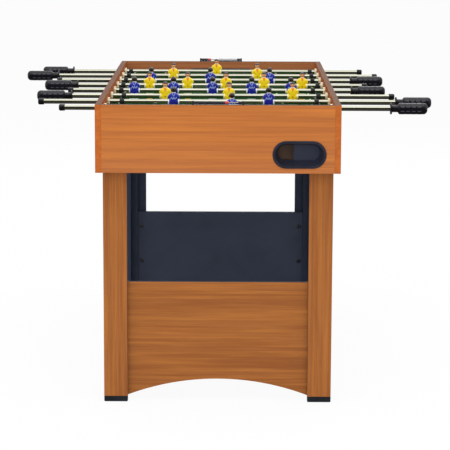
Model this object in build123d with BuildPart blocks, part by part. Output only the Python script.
from build123d import *
import math
import os

# Foosball table. Millimetres, +Z up, +X to the right and +Y from the near end to the far end.
# The origin is on the floor under the centre of the table.

# ---- Cabinet ----
table_length = 1219.2
table_width = 609.6
rim_height = 768.0          # floor to the top edge of the cabinet
apron_height = 170.0        # height of the cabinet's side and end panels
panel_thick = 15.0
field_thick = 6.0
field_to_rod = 59.0         # playfield surface up to the rod axes
cleat_size = 15.0           # square battens under the playfield

# ---- Legs ----
leg_setback = 49.0          # end panel's outer face to the leg's outer face
leg_face_width = 60.0
leg_side_width = 75.0
leg_thick = 15.0
leg_side_gap = 0.5          # leg to the inside of the side panel
corner_block = 20.0
foot_height = 15.0
foot_chamfer = 2.0

# ---- Lower end panels ----
lower_panel_top = 310.0
lower_panel_thick = 12.0
arch_rise = 42.5            # of the arch above the panel's lower edge

# ---- Bolts ----
bolt_diameter = 6.0
bolt_head_diameter = 13.0
bolt_head_height = 3.0
bolt_hole_gap = 0.2         # radial
bolt_bite = 9.0             # how far a bolt reaches into the second board
leg_bolt_drops = [22.0, 50.0]       # below the playfield cleat
panel_bolt_drops = [44.0, 152.0]    # below the lower panel's top edge

# ---- Rods and bushes ----
rod_diameter = 12.7
rod_wall = 1.5
rod_below_rim = 21.0
end_to_rod = 124.85         # end panel's outer face to the first and the last rod
bush_gap = 0.05             # rod to bush bore, radial
bush_diameter = 17.0
bush_hole_gap = 0.08        # bush barrel to panel hole, radial
bush_flange_diameter = 23.0
bush_flange_thick = 1.5     # outside the side panel
ring_nut_diameter = 22.0
ring_nut_thick = 6.5        # inside the side panel
bush_play = 0.3             # flange and ring nut to the panel
fixed_gap = 0.05            # rod, wire or barrel to whatever is fixed on it, radial
stop_gap = 0.4              # left between parts that stop each other

# ---- Handles and end caps ----
grip_diameter = 29.5
grip_length = 74.0
grip_end_radius = 10.0
grip_chamfer = 3.0
neck_diameter = 18.0
neck_length = 16.0
handle_flange_thick = 4.0
handle_end_wall = 8.0
cap_diameter = 17.0
cap_length = 15.0
cap_end_wall = 5.0
cap_end_radius = 4.0

# ---- Men ----
head_radius = 7.4
head_top = 39.0             # above the rod axis
shoulder_width = 24.0
shoulder_height = 19.0      # above the rod axis
waist_width = 23.0
torso_depth = 16.0
hip_drop = 12.0             # below the rod axis
sleeve_radius = 3.8
sleeve_spread = 33.0        # across the ends of both sleeves
sleeve_height = 11.5        # middle of a sleeve's end above the rod axis
collar_diameter = 20.0
collar_length = 30.0
ankle_drop = 42.0
ankle_width = 16.0
ankle_depth = 11.0
sole_drop = 54.0            # the sole below the rod axis
toe_reach = 12.0
heel_reach = 9.0
pin_diameter = 3.0
pin_length = 19.0

# ---- Bumpers ----
bumper_diameter = 17.0
bumper_length = 12.0
bumper_bore_gap = 0.1       # radial

# ---- Goals, chutes and ball pockets ----
goal_width = 180.0
goal_height = 54.0
goal_depth = 44.0
goal_wall = 3.0
goal_corner = 9.0
goal_lip = 6.0              # rim round the mouth
goal_lip_thick = 3.0
drop_margin = 3.0           # drop hole inside the goal's walls
chute_wall = 3.0
chute_reach = 78.0          # from the end panel's inner face
chute_height = 62.0
pocket_side_room = 102.8        # middle of the pocket to the side panel's outer face
pocket_centre_height = 47.0     # above the end panel's lower edge
pocket_width = 134.0
pocket_height = 69.0
pocket_flange_thick = 2.5
pocket_flange_reach = 4.0   # flange edge to the cup's outside
pocket_wall = 2.5
pocket_taper = 9.0          # the cup narrows by this on each side, mouth to back
pocket_hole_gap = 0.5
pocket_leg_gap = 2.0        # cup's back to the leg
inlet_width = 38.0          # opening between the chute and the cup

# ---- Scorers ----
scorer_length = 129.0
scorer_depth = 12.0
scorer_base_thick = 1.0
scorer_bracket = 5.0
bead_count = 10
bead_length = 9.4
bead_diameter = 8.0
bead_gap = 0.1              # between neighbours
bead_lift = 0.4             # bead to the scorer's base
bead_edge = 1.2
score_wire_diameter = 3.0
bead_bore_gap = 0.1         # radial
near_left_count = 9
far_left_count = 3

# ---- The eight rods, from the near end to the far end ----
# Each row: men on the rod, side of the handle, centre of the men at rest, the grip's end beyond the
# side panel when the men are centred, and the share of the rod's slide that its bumpers follow.
rod_rows = [
    (1, +1, 34.0, 189.7, 0.10),
    (2, +1, 6.0, 241.2, 0.18),
    (3, -1, 26.0, 207.2, 0.20),
    (5, +1, -19.0, 167.2, 0.35),
    (5, -1, 17.0, 203.2, 0.10),
    (3, +1, -28.0, 190.2, 0.10),
    (2, -1, -15.0, 248.7, 0.06),
    (1, -1, -12.5, 217.7, 0.06),
]
man_to_wall = {2: 166.3, 3: 119.8, 5: 75.8}     # outermost man to the side panel, when centred
cap_beyond = {1: 133.2, 2: 171.2, 3: 136.7, 5: 91.2}      # end cap's end beyond the side panel, when centred

# ---- Places that follow from the sizes ----
half_length = table_length / 2
half_width = table_width / 2
inner_end = half_length - panel_thick
inner_side = half_width - panel_thick
apron_bottom = rim_height - apron_height
apron_middle = rim_height - apron_height / 2
rod_height = rim_height - rod_below_rim
field_top = rod_height - field_to_rod
field_bottom = field_top - field_thick
leg_top = field_bottom - cleat_size
leg_front = half_length - leg_setback
leg_outer = inner_side - leg_side_gap
leg_length = leg_top - foot_height
bush_inner = inner_side - bush_play - ring_nut_thick
bush_outer = half_width + bush_play + bush_flange_thick
handle_length = handle_flange_thick + neck_length + grip_length

rod_count = len(rod_rows)
rod_pitch = (table_length - 2 * end_to_rod) / (rod_count - 1)
rod_y = [(i - (rod_count - 1) / 2) * rod_pitch for i in range(rod_count)]
pocket_x = half_width - pocket_side_room

bolt_hole_radius = bolt_diameter / 2 + bolt_hole_gap
leg_bolt_y = leg_front - (leg_side_width + leg_thick + corner_block) / 2
leg_bolt_heights = [leg_top - drop for drop in leg_bolt_drops]
panel_bolt_x = leg_outer - (leg_face_width + leg_thick + corner_block) / 2
panel_bolt_heights = [lower_panel_top - drop for drop in panel_bolt_drops]

along_x = (0, 90, 0)        # turns a cylinder's axis from Z to X
along_y = (90, 0, 0)

os.makedirs("parts", exist_ok=True)


def save(piece, name):
    """Label a finished piece and write its STEP file."""
    piece.label = name
    export_step(piece, f"parts/{name}.step")


def together(*pieces):
    """Separate solids that touch and share one node."""
    return Compound([solid for piece in pieces for solid in piece.part.solids()])


def far_end(piece):
    """The near end's piece, turned half round to the far end."""
    with BuildPart() as turned:
        add(piece.part, rotation=(0, 0, 180))
    return turned


def both_ends(piece):
    """The near end's piece and its copy at the far end, as separate solids."""
    with BuildPart() as pair:
        add(piece.part)
        add(piece.part, rotation=(0, 0, 180))
    return pair


# ---- Side panels: full length, bored for the bushes and, from inside, for the leg bolts ----
def side_panel(side):
    panel_x = side * (half_width - panel_thick / 2)
    with BuildPart() as panel:
        with Locations((panel_x, 0, apron_middle)):
            Box(panel_thick, table_length, apron_height)
        with Locations(*[(panel_x, y, rod_height) for y in rod_y]):
            Cylinder(bush_diameter / 2 + bush_hole_gap, panel_thick, rotation=along_x, mode=Mode.SUBTRACT)
        with Locations(*[(side * inner_side, end * leg_bolt_y, z) for end in (-1, 1) for z in leg_bolt_heights]):
            Cylinder(bolt_hole_radius, 2 * bolt_bite, rotation=along_x, mode=Mode.SUBTRACT)
    return panel


save(side_panel(-1).part, "side_panel_left")
save(side_panel(+1).part, "side_panel_right")

# ---- End panels: between the side panels, each with an oblong hole for its ball pocket ----
pocket_z = apron_bottom + pocket_centre_height
cup_width = pocket_width - 2 * pocket_flange_reach
cup_height = pocket_height - 2 * pocket_flange_reach
end_face = Plane.XZ.offset(half_length)    # the near end panel's outer face

with BuildPart() as end_panel:
    with Locations((0, -half_length + panel_thick / 2, apron_middle)):
        Box(2 * inner_side, panel_thick, apron_height)
    with BuildSketch(end_face):
        with Locations((pocket_x, pocket_z)):
            SlotOverall(cup_width + 2 * pocket_hole_gap, cup_height + 2 * pocket_hole_gap)
    extrude(amount=-panel_thick, mode=Mode.SUBTRACT)
save(end_panel.part, "end_panel_near")
save(far_end(end_panel).part, "end_panel_far")

# ---- Playfield: one board, with a drop hole at each end, on two cleats ----
drop_width = goal_width - 2 * drop_margin
drop_depth = goal_depth - 2 * drop_margin
drop_y = inner_end - goal_depth / 2
with BuildPart() as playfield:
    with Locations((0, 0, field_top - field_thick / 2)):
        Box(2 * inner_side, 2 * inner_end, field_thick)
    with Locations((0, -drop_y, field_top), (0, drop_y, field_top)):
        Box(drop_width, drop_depth, 3 * field_thick, mode=Mode.SUBTRACT)
save(playfield.part, "playfield")

cleat_x = inner_side - cleat_size / 2
with BuildPart() as cleats:
    with Locations((-cleat_x, 0, field_bottom - cleat_size / 2), (cleat_x, 0, field_bottom - cleat_size / 2)):
        Box(cleat_size, 2 * inner_end, cleat_size)
save(cleats.part, "playfield_cleats")

# ---- Goals: a moulded hood over each drop hole, with a rim round its mouth, open below ----
goal_layers = [
    (goal_wall, goal_depth, goal_depth, Mode.ADD),
    (goal_wall + goal_lip, goal_depth, goal_lip_thick, Mode.ADD),
    (0, goal_depth, goal_depth, Mode.SUBTRACT),
]
with BuildPart() as goal:
    for outside, mouth, length, mode in goal_layers:
        with BuildSketch(Plane.XZ.offset(inner_end - mouth)) as outline:
            with Locations((0, field_top)):
                Rectangle(goal_width + 2 * outside, goal_height + outside, align=(Align.CENTER, Align.MIN))
            fillet(outline.vertices().group_by(Axis.Y)[-1], goal_corner + outside)
        extrude(amount=length, mode=mode)
save(both_ends(goal).part, "goals")

# ---- Ball pockets: a tapered cup in each end panel, with an inlet at the back ----
cup_depth = half_length - leg_front - pocket_leg_gap
cup_back_y = -half_length + cup_depth
inlet_height = cup_height - 2 * pocket_taper - 2 * pocket_wall
inlet_x = pocket_x - cup_width / 2 + pocket_taper + pocket_wall + inlet_width / 2


def cup_outline(inset, depth):
    """Width and height of the cup at a depth behind the end face."""
    smaller = 2 * (inset + pocket_taper * depth / cup_depth)
    return cup_width - smaller, cup_height - smaller


with BuildPart() as pocket:
    with BuildSketch(end_face):
        with Locations((pocket_x, pocket_z)):
            SlotOverall(pocket_width, pocket_height)
    extrude(amount=pocket_flange_thick)
    fillet(pocket.faces().sort_by(Axis.Y)[0].edges(), 0.6 * pocket_flange_thick)
    for inset, back, mode in ((0, cup_depth, Mode.ADD), (pocket_wall, cup_depth - pocket_wall, Mode.SUBTRACT)):
        for depth in (0, back):
            with BuildSketch(end_face.offset(-depth)):
                with Locations((pocket_x, pocket_z)):
                    SlotOverall(*cup_outline(inset, depth))
        loft(mode=mode)
    with BuildSketch(end_face):
        with Locations((pocket_x, pocket_z)):
            SlotOverall(*cup_outline(pocket_wall, 0))
    extrude(amount=pocket_flange_thick, mode=Mode.SUBTRACT)
    with Locations((inlet_x, cup_back_y, pocket_z)):
        Box(inlet_width, 3 * pocket_wall, inlet_height, mode=Mode.SUBTRACT)
save(both_ends(pocket).part, "ball_pockets")

# ---- Ball chutes: a hardboard trough under each goal that leads round to the pocket's inlet ----
chute_left = -goal_width / 2 - chute_wall
chute_turn = pocket_x - cup_width / 2 - pocket_leg_gap
chute_right = leg_outer - leg_face_width - pocket_leg_gap
chute_front = cup_back_y + stop_gap
chute_rear = -inner_end + chute_reach
chute_floor = field_bottom - chute_height
chute_plan = [
    (chute_left, -inner_end),
    (chute_turn, -inner_end),
    (chute_turn, chute_front),
    (chute_right, chute_front),
    (chute_right, chute_rear),
    (chute_left, chute_rear),
]
with BuildPart() as chute:
    for inset, mode in ((0, Mode.ADD), (chute_wall, Mode.SUBTRACT)):
        with BuildSketch(Plane.XY.offset(chute_floor + inset)) as plan:
            with BuildLine():
                Polyline(*chute_plan, close=True)
            make_face()
            if inset:
                offset(amount=-inset, kind=Kind.INTERSECTION, mode=Mode.REPLACE)
        extrude(amount=chute_height - inset, mode=mode)
    with Locations((inlet_x, chute_front, pocket_z)):
        Box(inlet_width, 3 * chute_wall, inlet_height, mode=Mode.SUBTRACT)
save(both_ends(chute).part, "ball_chutes")


# ---- Legs: an end board, a side board and a block in the corner, with a shoe below ----
def leg_plan(side, end):
    """Centre and size in plan of a leg's end board, side board and corner block."""
    side_depth = leg_side_width - leg_thick
    block_in = leg_thick + corner_block / 2
    return {
        "end": (side * (leg_outer - leg_face_width / 2), end * (leg_front - leg_thick / 2), leg_face_width, leg_thick),
        "side": (
            side * (leg_outer - leg_thick / 2),
            end * (leg_front - leg_thick - side_depth / 2),
            leg_thick,
            side_depth,
        ),
        "block": (side * (leg_outer - block_in), end * (leg_front - block_in), corner_block, corner_block),
    }


def leg(side, end):
    """A leg's three pieces, with the holes of the bolts that cross them."""
    boards = []
    for kind, (x, y, width, depth) in leg_plan(side, end).items():
        with BuildPart() as board:
            with Locations((x, y, foot_height + leg_length / 2)):
                Box(width, depth, leg_length)
            if kind == "end":
                inner_face = end * (leg_front - leg_thick)
                with Locations(*[(side * panel_bolt_x, inner_face, z) for z in panel_bolt_heights]):
                    Cylinder(bolt_hole_radius, 2 * bolt_bite, rotation=along_y, mode=Mode.SUBTRACT)
            if kind == "side":
                with Locations(*[(x, end * leg_bolt_y, z) for z in leg_bolt_heights]):
                    Cylinder(bolt_hole_radius, 2 * leg_thick, rotation=along_x, mode=Mode.SUBTRACT)
        boards.append(board)
    return together(*boards)


for side, side_name in ((-1, "left"), (+1, "right")):
    for end, end_name in ((-1, "near"), (+1, "far")):
        save(leg(side, end), f"leg_{end_name}_{side_name}")

with BuildPart() as feet:
    for side in (-1, 1):
        for end in (-1, 1):
            with BuildSketch():
                for x, y, width, depth in leg_plan(side, end).values():
                    with Locations((x, y)):
                        Rectangle(width, depth)
            extrude(amount=foot_height)
    chamfer(feet.faces().filter_by(Axis.Z).group_by(Axis.Z)[0].edges(), foot_chamfer)
save(feet.part, "leg_feet")

# ---- Lower end panels: behind the legs' end boards, arched below ----
arch_half = leg_outer - leg_face_width
lower_half = leg_outer - leg_thick - corner_block
with BuildPart() as lower_panel:
    with BuildSketch(Plane.XZ.offset(leg_front - leg_thick)):
        with BuildLine():
            Polyline(
                (-arch_half, foot_height),
                (-lower_half, foot_height),
                (-lower_half, lower_panel_top),
                (lower_half, lower_panel_top),
                (lower_half, foot_height),
                (arch_half, foot_height),
            )
            ThreePointArc((arch_half, foot_height), (0, foot_height + arch_rise), (-arch_half, foot_height))
        make_face()
    extrude(amount=-lower_panel_thick)
    panel_bolts = [(side * panel_bolt_x, -leg_front + leg_thick, z) for side in (-1, 1) for z in panel_bolt_heights]
    with Locations(*panel_bolts):
        Cylinder(bolt_hole_radius, 3 * lower_panel_thick, rotation=along_y, mode=Mode.SUBTRACT)
save(lower_panel.part, "lower_panel_near")
save(far_end(lower_panel).part, "lower_panel_far")


# ---- Bolts: dome headed, with their heads on the inside ----
def bolt(grip):
    """A bolt along Z: the head stands on z = 0 and the shank goes down through grip and into the next board."""
    with BuildPart() as one_bolt:
        Cylinder(
            bolt_head_diameter / 2, bolt_head_height, align=(Align.CENTER, Align.CENTER, Align.MIN)
        )
        fillet(one_bolt.edges().group_by(Axis.Z)[-1], 0.8 * bolt_head_height)
        Cylinder(bolt_diameter / 2, grip + bolt_bite - 1, align=(Align.CENTER, Align.CENTER, Align.MAX))
    return one_bolt


leg_bolt = bolt(leg_thick + leg_side_gap)
panel_bolt = bolt(lower_panel_thick)
with BuildPart() as bolts:
    for side in (-1, 1):
        for end in (-1, 1):
            leg_face = side * (leg_outer - leg_thick)
            with Locations(*[Location((leg_face, end * leg_bolt_y, z), (0, -side * 90, 0)) for z in leg_bolt_heights]):
                add(leg_bolt.part)
            panel_face = end * (leg_front - leg_thick - lower_panel_thick)
            with Locations(
                *[Location((side * panel_bolt_x, panel_face, z), (end * 90, 0, 0)) for z in panel_bolt_heights]
            ):
                add(panel_bolt.part)
save(bolts.part, "assembly_bolts")

# ---- Rods and what they carry ----
cap_tips = [centre - side * (half_width + cap_beyond[men]) for men, side, centre, beyond, share in rod_rows]
grip_tips = [centre + side * (half_width + beyond) for men, side, centre, beyond, share in rod_rows]


def men_places(row):
    """Where the men stand along a rod: evenly spaced between its two outermost men."""
    men, side, centre, beyond, share = rod_rows[row]
    if men == 1:
        return [centre]
    outermost = inner_side - man_to_wall[men]
    return [centre - outermost + k * 2 * outermost / (men - 1) for k in range(men)]


def slide_room(row):
    """How far a rod slides to the left and to the right until a bumper, the grip or the cap stops it."""
    men, side, centre, beyond, share = rod_rows[row]
    outermost = abs(men_places(row)[0] - centre) + collar_length / 2
    bumper_room = bush_inner - bumper_length - outermost - 2 * stop_gap
    handle_room = abs(grip_tips[row]) - handle_length - bush_outer - stop_gap
    cap_room = abs(cap_tips[row]) - cap_length - bush_outer - stop_gap
    if side > 0:
        return min(bumper_room + centre, handle_room), min(bumper_room - centre, cap_room)
    return min(bumper_room + centre, cap_room), min(bumper_room - centre, handle_room)


# One bush: a flanged barrel through the right side panel from outside, with a ring nut inside.
with BuildPart() as bush:
    with Locations((bush_outer, 0, 0)):
        Cylinder(
            bush_flange_diameter / 2, bush_flange_thick, rotation=along_x, align=(Align.CENTER, Align.CENTER, Align.MAX)
        )
        Cylinder(
            bush_diameter / 2, bush_outer - bush_inner, rotation=along_x, align=(Align.CENTER, Align.CENTER, Align.MAX)
        )
    fillet(bush.edges().group_by(Axis.X)[-1], bush_flange_thick / 3)
    Cylinder(rod_diameter / 2 + bush_gap, 3 * table_width, rotation=along_x, mode=Mode.SUBTRACT)
with BuildPart() as ring_nut:
    with Locations((bush_inner, 0, 0)):
        Cylinder(
            ring_nut_diameter / 2, ring_nut_thick, rotation=along_x, align=(Align.CENTER, Align.CENTER, Align.MIN)
        )
    fillet(ring_nut.edges().group_by(Axis.X)[0], ring_nut_thick / 5)
    Cylinder(bush_diameter / 2 + fixed_gap, 3 * table_width, rotation=along_x, mode=Mode.SUBTRACT)

# One bumper: a rubber sleeve with rounded ends.
with BuildPart() as bumper:
    Cylinder(bumper_diameter / 2, bumper_length, rotation=along_x)
    fillet(bumper.edges(), bumper_length / 6)
    Cylinder(rod_diameter / 2 + bumper_bore_gap, 2 * bumper_length, rotation=along_x, mode=Mode.SUBTRACT)

# One handle: it lies along X with the grip's end at the origin and the flange at the far -X end.
with BuildPart() as handle:
    with BuildSketch():
        with BuildLine():
            neck_end = -grip_length - neck_length
            grip_radius = grip_diameter / 2
            Polyline(
                (0, 0),
                (-handle_length, 0),
                (-handle_length, grip_radius),
                (neck_end, grip_radius),
                (neck_end, neck_diameter / 2),
                (-grip_length, neck_diameter / 2),
                (-grip_length, grip_radius - grip_chamfer),
                (-grip_length + grip_chamfer, grip_radius),
                (-grip_end_radius, grip_radius),
            )
            RadiusArc((-grip_end_radius, grip_radius), (0, grip_radius - grip_end_radius), grip_end_radius)
            Line((0, grip_radius - grip_end_radius), (0, 0))
        make_face()
    revolve(axis=Axis.X)
    with Locations((-handle_end_wall, 0, 0)):
        Cylinder(
            rod_diameter / 2 + fixed_gap,
            handle_length,
            rotation=along_x,
            align=(Align.CENTER, Align.CENTER, Align.MAX),
            mode=Mode.SUBTRACT,
        )

# One end cap, the same way round.
with BuildPart() as end_cap:
    Cylinder(cap_diameter / 2, cap_length, rotation=along_x, align=(Align.CENTER, Align.CENTER, Align.MAX))
    fillet(end_cap.edges().group_by(Axis.X)[-1], cap_end_radius)
    with Locations((-cap_end_wall, 0, 0)):
        Cylinder(
            rod_diameter / 2 + fixed_gap,
            cap_length,
            rotation=along_x,
            align=(Align.CENTER, Align.CENTER, Align.MAX),
            mode=Mode.SUBTRACT,
        )

# One man, facing -Y, with the rod's axis along X through the origin.
with BuildPart() as man:
    torso = [
        (-hip_drop, waist_width, torso_depth - 1),
        (shoulder_height / 4, waist_width, torso_depth),
        (shoulder_height - sleeve_radius, shoulder_width, torso_depth - 2),
        (shoulder_height + sleeve_radius, shoulder_width / 2, torso_depth / 2),
    ]
    for height, width, depth in torso:
        with BuildSketch(Plane.XY.offset(height)):
            RectangleRounded(width, depth, depth / 3)
    loft()
    shoulder_x = shoulder_width / 2 - sleeve_radius
    shoulder_z = shoulder_height - sleeve_radius
    sleeve_x = sleeve_spread / 2 - sleeve_radius
    sleeve_length = math.hypot(sleeve_x - shoulder_x, shoulder_z - sleeve_height)
    sleeve_tilt = math.degrees(math.atan2(sleeve_x - shoulder_x, shoulder_z - sleeve_height))
    for side in (-1, 1):
        with Locations((side * shoulder_x, 0, shoulder_z), (side * sleeve_x, 0, sleeve_height)):
            Sphere(sleeve_radius)
        middle = (side * (shoulder_x + sleeve_x) / 2, 0, (shoulder_z + sleeve_height) / 2)
        with Locations(Location(middle, (0, -side * sleeve_tilt, 0))):
            Cylinder(sleeve_radius, sleeve_length)
    with Locations((0, 0, head_top - head_radius)):
        Sphere(head_radius)
        Cylinder(head_radius / 2, 2 * head_radius, align=(Align.CENTER, Align.CENTER, Align.MAX))
    for height, width, depth in ((-hip_drop, waist_width, torso_depth - 1), (-ankle_drop, ankle_width, ankle_depth)):
        with BuildSketch(Plane.XY.offset(height)):
            RectangleRounded(width, depth, depth / 3)
    loft()
    with BuildSketch(Plane.YZ.offset(-ankle_width / 2)) as foot:
        with BuildLine():
            Polyline(
                (-toe_reach, -sole_drop),
                (heel_reach, -sole_drop),
                (heel_reach - 1, -ankle_drop),
                (-ankle_depth / 2, -ankle_drop),
                (-toe_reach, -sole_drop + 5),
                close=True,
            )
        make_face()
    extrude(amount=ankle_width)
    Cylinder(collar_diameter / 2, collar_length, rotation=along_x)
    Cylinder(rod_diameter / 2 + fixed_gap, 2 * collar_length, rotation=along_x, mode=Mode.SUBTRACT)
    Cylinder(pin_diameter / 2 + fixed_gap, 2 * collar_diameter, rotation=along_y, mode=Mode.SUBTRACT)

for row, (men, side, centre, beyond, share) in enumerate(rod_rows):
    number = row + 1
    y = rod_y[row]
    left, right = slide_room(row)
    outwards = 0 if side > 0 else 180      # turns a handle towards its own side

    rod_start = cap_tips[row] + side * cap_end_wall
    rod_end = grip_tips[row] - side * handle_end_wall
    with BuildPart() as rod:
        with Locations(((rod_start + rod_end) / 2, y, rod_height)):
            Cylinder(rod_diameter / 2, abs(rod_end - rod_start), rotation=along_x)
            Cylinder(rod_diameter / 2 - rod_wall, 2 * table_width, rotation=along_x, mode=Mode.SUBTRACT)
        with Locations(*[(x, y, rod_height) for x in men_places(row)]):
            Cylinder(pin_diameter / 2 + fixed_gap, 2 * rod_diameter, rotation=along_y, mode=Mode.SUBTRACT)
            Cylinder(pin_diameter / 2, pin_length, rotation=along_y)
    save(rod.part, f"rod_{number}")

    with BuildPart() as rod_ends:
        with Locations(Location((grip_tips[row], y, rod_height), (0, 0, outwards))):
            add(handle.part)
        with Locations(Location((cap_tips[row], y, rod_height), (0, 0, 180 - outwards))):
            add(end_cap.part)
    save(rod_ends.part, f"handle_{number}")

    facing = 180 if side > 0 else 0
    with BuildPart() as men_on_rod:
        with Locations(*[Location((x, y, rod_height), (0, 0, facing)) for x in men_places(row)]):
            add(man.part)
    save(men_on_rod.part, f"men_{number}")

    bumper_out = bush_inner - stop_gap - bumper_length / 2
    with BuildPart() as bumpers:
        with Locations((share * left - bumper_out, y, rod_height), (bumper_out - share * right, y, rod_height)):
            add(bumper.part)
    save(bumpers.part, f"bumpers_{number}")

    bush_pair = []
    for piece in (bush, ring_nut):
        with BuildPart() as placed:
            with Locations(Location((0, y, rod_height)), Location((0, y, rod_height), (0, 0, 180))):
                add(piece.part)
        bush_pair.append(placed)
    save(together(*bush_pair), f"bushes_{number}")

    print(f"rod {number}: slides {-left:.1f} to {right:.1f}, bumpers {-share * left:.2f} to {share * right:.2f}")

# ---- Scorers: ten beads on a wire between two brackets, on top of each end panel ----
wire_z = rim_height + scorer_base_thick + bead_lift + bead_diameter / 2
bead_pitch = bead_length + bead_gap
beads_reach = scorer_length / 2 - scorer_bracket - stop_gap
scorer_y = half_length - panel_thick / 2
bead_travel = 2 * beads_reach - bead_count * bead_pitch + bead_gap - stop_gap

with BuildPart() as scorer:
    with Locations((0, 0, rim_height)):
        Box(scorer_length, scorer_depth, scorer_base_thick, align=(Align.CENTER, Align.CENTER, Align.MIN))
    bracket_x = (scorer_length - scorer_bracket) / 2
    bracket_height = scorer_base_thick + 2 * bead_lift + bead_diameter
    with Locations((-bracket_x, 0, rim_height), (bracket_x, 0, rim_height)):
        Box(scorer_bracket, scorer_depth, bracket_height, align=(Align.CENTER, Align.CENTER, Align.MIN))
    with Locations((0, 0, wire_z)):
        Cylinder(score_wire_diameter / 2 + fixed_gap, scorer_length, rotation=along_x, mode=Mode.SUBTRACT)
        Cylinder(score_wire_diameter / 2, scorer_length - 1, rotation=along_x)

with BuildPart() as bead:
    Cylinder(bead_diameter / 2, bead_length, rotation=along_x)
    fillet(bead.edges(), bead_edge)
    Cylinder(score_wire_diameter / 2 + bead_bore_gap, 2 * bead_length, rotation=along_x, mode=Mode.SUBTRACT)


def bead_places(left_count, which):
    """Bead centres along the wire: left_count beads at its left end and the others at its right end."""
    left_beads = [-beads_reach + bead_length / 2 + k * bead_pitch for k in range(left_count)]
    right_beads = [beads_reach - bead_length / 2 - k * bead_pitch for k in range(bead_count - left_count)]
    return left_beads if which == "left" else right_beads


def beads(places, end):
    with BuildPart() as row_of_beads:
        with Locations(*[(x, end * scorer_y, wire_z) for x in places]):
            add(bead.part)
    return row_of_beads


with BuildPart() as scorer_frames:
    with Locations((0, -scorer_y, 0), (0, scorer_y, 0)):
        add(scorer.part)
parked_near = beads(bead_places(near_left_count, "right"), -1)
parked_far = beads(bead_places(far_left_count, "left"), +1)
save(together(scorer_frames, parked_near, parked_far), "scorer_frames")
save(beads(bead_places(near_left_count, "left"), -1).part, "score_beads_near")
save(beads(bead_places(far_left_count, "right"), +1).part, "score_beads_far")
print(f"score beads slide {bead_travel:.2f}")
